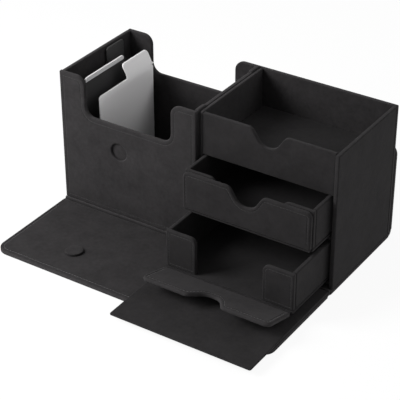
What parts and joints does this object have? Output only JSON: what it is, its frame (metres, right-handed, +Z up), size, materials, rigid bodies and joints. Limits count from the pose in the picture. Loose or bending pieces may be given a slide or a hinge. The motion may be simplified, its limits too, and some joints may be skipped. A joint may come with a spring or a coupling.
{
  "type": "card box",
  "caption": "Open playing card box in dark microfibre with a deck well, filing dividers, an open tray, pull-out drawers with fold-down fronts and a wrap-round magnetic cover.",
  "frame": {"origin": "on the table, under the middle of the box body", "axes": "+X to the right for someone facing the front, +Y to the back, +Z up"},
  "size_m": [0.236, 0.2032, 0.1142],
  "materials": {
    "covering": "matte",
    "lining": "matte",
    "white_plastic": "matte",
    "grey_plastic": "matte",
    "dark_plastic": "matte"
  },
  "bodies": {
    "box": {"base_panel": "covering", "front_crease": "covering", "back_crease": "covering", "well_front": "covering", "back_wall": "covering", "well_left": "covering", "well_right": "covering", "well_floor": "lining", "cabinet_left": "covering", "cabinet_right": "covering", "cabinet_floor": "lining", "shelf": "lining", "tray_floor": "lining", "tray_front": "covering"},
    "cover_flap": {"front_flap": "covering", "flap_magnet": "covering"},
    "cover_sheet": {"inner_cover": "covering"},
    "cover_back": {"back_flap": "covering"},
    "lower_drawer": {"lower_drawer_floor": "lining", "lower_drawer_left": "covering", "lower_drawer_right": "covering", "lower_drawer_back": "covering", "lower_drawer_left_post": "covering", "lower_drawer_right_post": "covering", "lower_drawer_fold": "covering"},
    "lower_drawer_flap": {"lower_drawer_front": "covering"},
    "upper_drawer": {"upper_drawer_floor": "lining", "upper_drawer_left": "covering", "upper_drawer_right": "covering", "upper_drawer_back": "covering", "upper_drawer_left_post": "covering", "upper_drawer_right_post": "covering", "upper_drawer_fold": "covering"},
    "upper_drawer_flap": {"upper_drawer_front": "covering"},
    "white_divider": {"divider_white": "white_plastic"},
    "grey_divider": {"divider_grey": "grey_plastic"},
    "dark_divider": {"divider_dark": "dark_plastic"}
  },
  "joints": [
    {"name": "front_flap_hinge", "type": "hinge", "parent": "box", "child": "cover_flap", "pos_m": [0, -0.0468, 0.003], "axis": [-1, 0, 0], "range_deg": [0, 2.5]},
    {"name": "inner_cover_hinge", "type": "hinge", "parent": "cover_flap", "child": "cover_sheet", "pos_m": [0, -0.0468, 0.003], "axis": [-1, 0, 0], "range_deg": [0, 2.5]},
    {"name": "back_flap_hinge", "type": "hinge", "parent": "box", "child": "cover_back", "pos_m": [0, 0.0468, 0.003], "axis": [-1, 0, 0], "range_deg": [0, 90]},
    {"name": "lower_drawer_slide", "type": "slide", "parent": "box", "child": "lower_drawer", "axis": [0, 1, 0], "range_m": [-0.0123, 0.0527]},
    {"name": "lower_drawer_front_hinge", "type": "hinge", "parent": "lower_drawer", "child": "lower_drawer_flap", "pos_m": [0.05985, -0.0912, 0.0099], "axis": [-1, 0, 0], "range_deg": [-16, 74]},
    {"name": "upper_drawer_slide", "type": "slide", "parent": "box", "child": "upper_drawer", "axis": [0, 1, 0], "range_m": [-0.037, 0.028]},
    {"name": "upper_drawer_front_hinge", "type": "hinge", "parent": "upper_drawer", "child": "upper_drawer_flap", "pos_m": [0.05985, -0.0665, 0.0474], "axis": [-1, 0, 0], "range_deg": [-90, 0]},
    {"name": "white_divider_lift", "type": "slide", "parent": "box", "child": "white_divider", "axis": [0, 0, 1], "range_m": [0, 0.12]},
    {"name": "grey_divider_lift", "type": "slide", "parent": "box", "child": "grey_divider", "axis": [0, 0, 1], "range_m": [0, 0.12]},
    {"name": "dark_divider_lift", "type": "slide", "parent": "box", "child": "dark_divider", "axis": [0, 0, 1], "range_m": [0, 0.12]}
  ]
}
